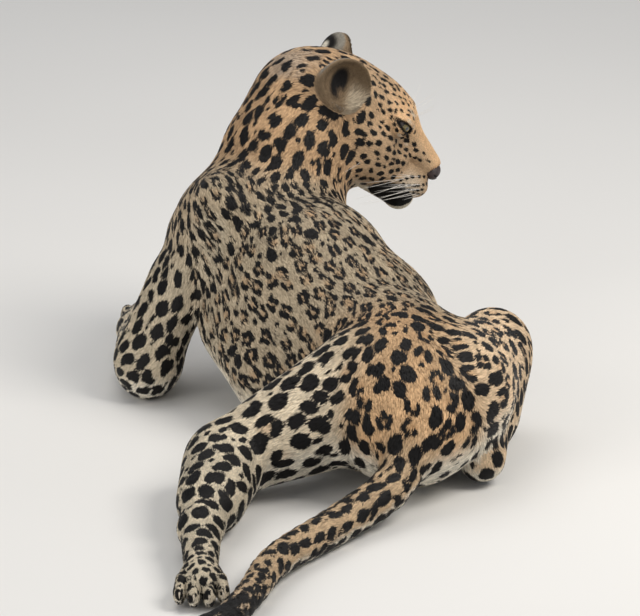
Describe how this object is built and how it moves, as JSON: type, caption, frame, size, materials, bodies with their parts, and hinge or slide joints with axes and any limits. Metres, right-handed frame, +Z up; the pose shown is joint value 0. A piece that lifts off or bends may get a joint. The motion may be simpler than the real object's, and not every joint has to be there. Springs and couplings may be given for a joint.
{
  "type": "leopard",
  "caption": "Leopard lying on its belly with its head turned to its right, one hind leg splayed back, the other knee raised and the tail trailing behind.",
  "frame": {"origin": "on the floor, on the flat under the belly where the animal rests", "axes": "+X to the animal's left, -Y ahead of its body, +Y towards the tail, +Z up"},
  "size_m": [0.5284, 1.3463, 0.4132],
  "materials": {
    "coat": "short dense fur, tan with near-black spots and rosettes",
    "nose": "dark bare nose leather, slightly moist",
    "eye": "wet, yellow-green iris with a round dark pupil"
  },
  "bodies": {
    "root": {"torso": "coat", "neck": "coat", "head": "coat", "nose": "nose", "eye_left": "eye", "eye_right": "eye", "ear_left": "coat", "ear_right": "coat", "upper_arm_left": "coat", "forearm_left": "coat", "forepaw_left": "coat", "thigh_left": "coat", "shank_left": "coat", "hind_foot_left": "coat", "upper_arm_right": "coat", "forearm_right": "coat", "forepaw_right": "coat", "thigh_right": "coat", "shank_right": "coat", "hind_foot_right": "coat", "tail_root": "coat", "tail_middle": "coat", "tail_tip": "coat"}
  },
  "joints": []
}
